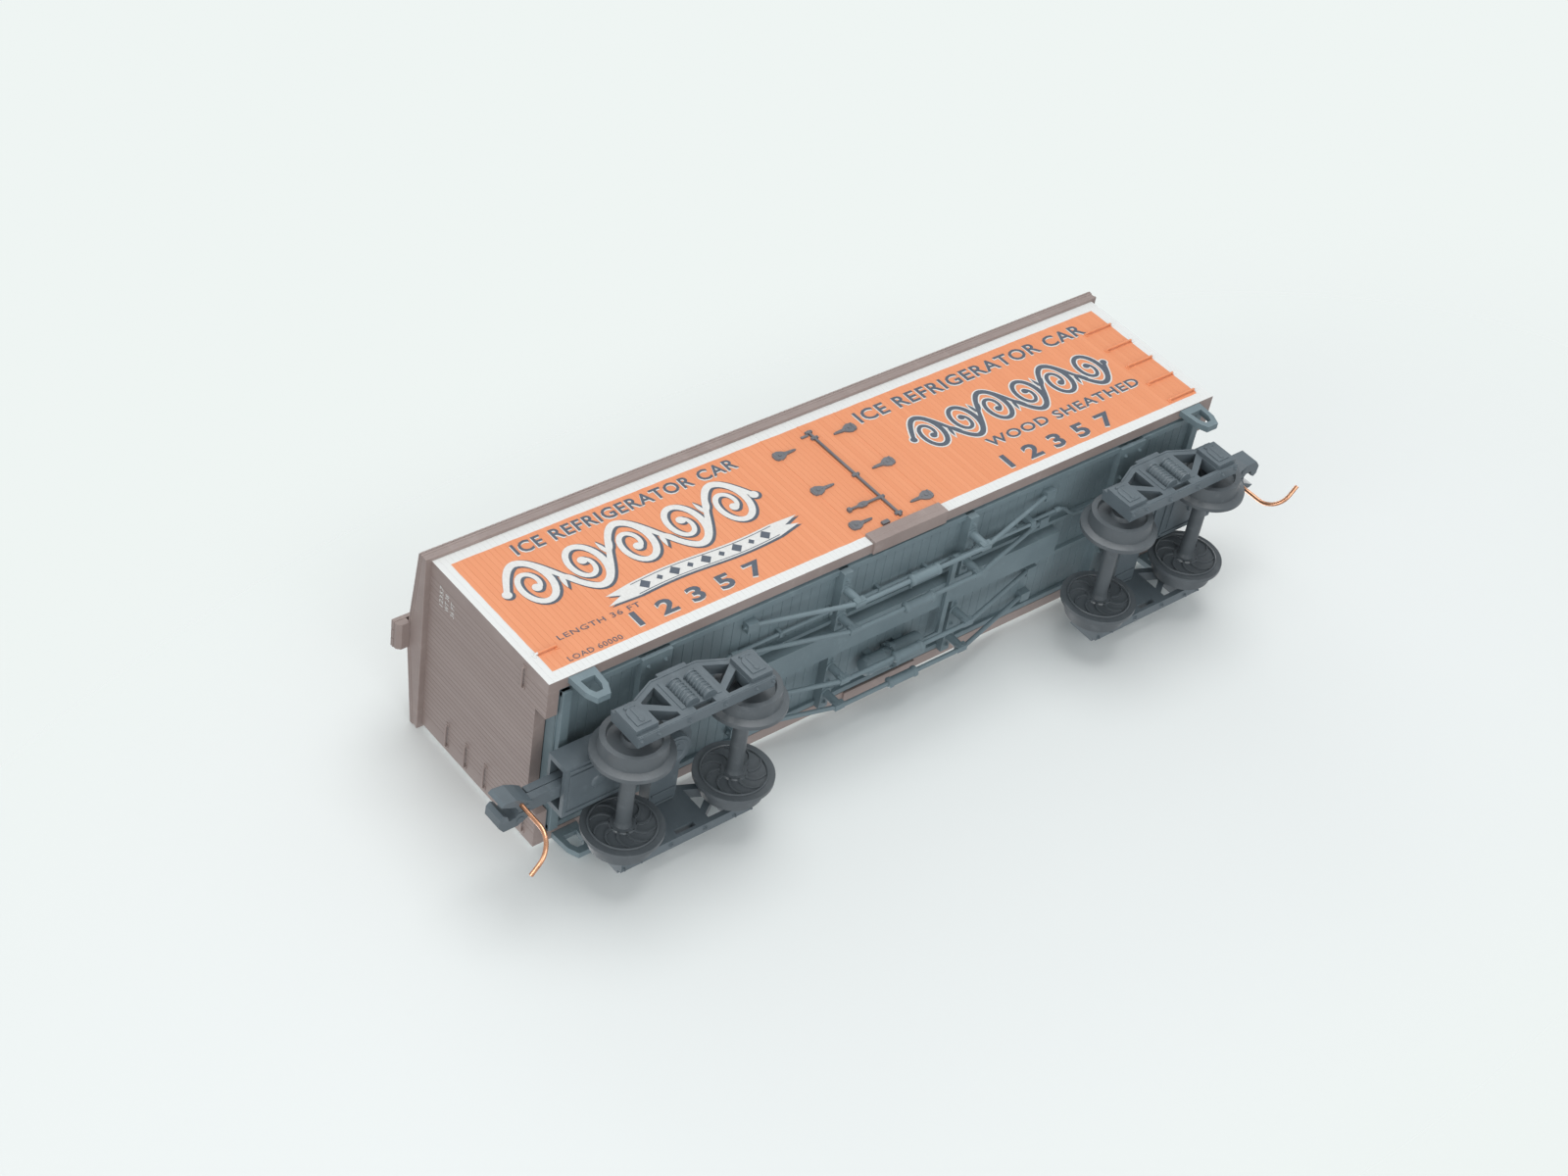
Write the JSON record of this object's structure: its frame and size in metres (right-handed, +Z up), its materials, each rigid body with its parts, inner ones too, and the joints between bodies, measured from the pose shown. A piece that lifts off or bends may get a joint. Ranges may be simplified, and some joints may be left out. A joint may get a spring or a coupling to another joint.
{
  "type": "model box car",
  "caption": "Scale model of a wood-sheathed ice refrigerator box car on swivelling arch-bar trucks with truck-mounted knuckle couplers.",
  "frame": {"origin": "on the running surface under the middle of the car, at the lowest points of the wheel flanges", "axes": "+X along the car towards the brake wheel end, +Y across to the far side, +Z up"},
  "size_m": [0.0802, 0.0178, 0.0268],
  "materials": {
    "body_paint": "satin orange paint on a moulded body",
    "roof_paint": "flat mineral brown paint",
    "underframe_plastic": "matt blue-grey moulded plastic",
    "truck_plastic": "slightly waxy dark moulded plastic",
    "wheel_plastic": "smooth moulded plastic",
    "trip_copper": "drawn copper-coloured wire",
    "weight_steel": "plain sheet",
    "spring_steel": "fine wire"
  },
  "bodies": {
    "car_body": {"body_shell": "body_paint", "brake_cylinder": "underframe_plastic", "brake_rigging": "underframe_plastic", "brake_staff": "underframe_plastic", "brake_step": "roof_paint", "brake_wheel": "underframe_plastic", "floor_weight": "weight_steel", "ice_hatch_a_far": "roof_paint", "ice_hatch_a_near": "roof_paint", "ice_hatch_b_far": "roof_paint", "ice_hatch_b_near": "roof_paint", "running_board": "roof_paint", "stirrup_step_a_far": "underframe_plastic", "stirrup_step_a_near": "underframe_plastic", "stirrup_step_b_far": "underframe_plastic", "stirrup_step_b_near": "underframe_plastic", "truck_pin_a": "truck_plastic", "truck_pin_b": "truck_plastic", "truss_rod_far_inner": "underframe_plastic", "truss_rod_far_outer": "underframe_plastic", "truss_rod_near_inner": "underframe_plastic", "truss_rod_near_outer": "underframe_plastic", "underframe": "underframe_plastic"},
    "truck_a": {"truck_frame_a": "truck_plastic", "coupler_lid_a": "truck_plastic"},
    "coupler_a": {"coupler_jaw_a": "truck_plastic", "trip_pin_a": "trip_copper", "coupler_spring_a": "spring_steel"},
    "knuckle_a": {"coupler_knuckle_a": "truck_plastic"},
    "wheelset_a_outer": {"wheelset_a_outer": "wheel_plastic"},
    "wheelset_a_inner": {"wheelset_a_inner": "wheel_plastic"},
    "truck_b": {"truck_frame_b": "truck_plastic", "coupler_lid_b": "truck_plastic"},
    "coupler_b": {"coupler_jaw_b": "truck_plastic", "trip_pin_b": "trip_copper", "coupler_spring_b": "spring_steel"},
    "knuckle_b": {"coupler_knuckle_b": "truck_plastic"},
    "wheelset_b_outer": {"wheelset_b_outer": "wheel_plastic"},
    "wheelset_b_inner": {"wheelset_b_inner": "wheel_plastic"}
  },
  "joints": [
    {"name": "truck_a_swivel", "type": "hinge", "parent": "car_body", "child": "truck_a", "pos_m": [-0.02476, 0, 0.0062], "axis": [0, 0, 1], "range_deg": [-15, 15]},
    {"name": "wheelset_a_outer_spin", "type": "hinge", "parent": "truck_a", "child": "wheelset_a_outer", "pos_m": [-0.03001, 0, 0.00322], "axis": [0, 1, 0], "continuous": true},
    {"name": "wheelset_a_inner_spin", "type": "hinge", "parent": "truck_a", "child": "wheelset_a_inner", "pos_m": [-0.01953, 0, 0.00322], "axis": [0, 1, 0], "continuous": true},
    {"name": "coupler_a_swing", "type": "hinge", "parent": "truck_a", "child": "coupler_a", "pos_m": [-0.03136, 0, 0.0062], "axis": [0, 0, 1], "range_deg": [-10, 10], "stiffness_Nm_per_rad": 0.00002},
    {"name": "knuckle_a_open", "type": "hinge", "parent": "coupler_a", "child": "knuckle_a", "pos_m": [-0.03136, 0, 0.0062], "axis": [0, 0, -1], "range_deg": [0, 8], "stiffness_Nm_per_rad": 0.00002},
    {"name": "truck_b_swivel", "type": "hinge", "parent": "car_body", "child": "truck_b", "pos_m": [0.02476, 0, 0.0062], "axis": [0, 0, 1], "range_deg": [-15, 15]},
    {"name": "wheelset_b_outer_spin", "type": "hinge", "parent": "truck_b", "child": "wheelset_b_outer", "pos_m": [0.03001, 0, 0.00322], "axis": [0, 1, 0], "continuous": true},
    {"name": "wheelset_b_inner_spin", "type": "hinge", "parent": "truck_b", "child": "wheelset_b_inner", "pos_m": [0.01953, 0, 0.00322], "axis": [0, 1, 0], "continuous": true},
    {"name": "coupler_b_swing", "type": "hinge", "parent": "truck_b", "child": "coupler_b", "pos_m": [0.03136, 0, 0.0062], "axis": [0, 0, 1], "range_deg": [-10, 10], "stiffness_Nm_per_rad": 0.00002},
    {"name": "knuckle_b_open", "type": "hinge", "parent": "coupler_b", "child": "knuckle_b", "pos_m": [0.03136, 0, 0.0062], "axis": [0, 0, -1], "range_deg": [0, 8], "stiffness_Nm_per_rad": 0.00002}
  ]
}
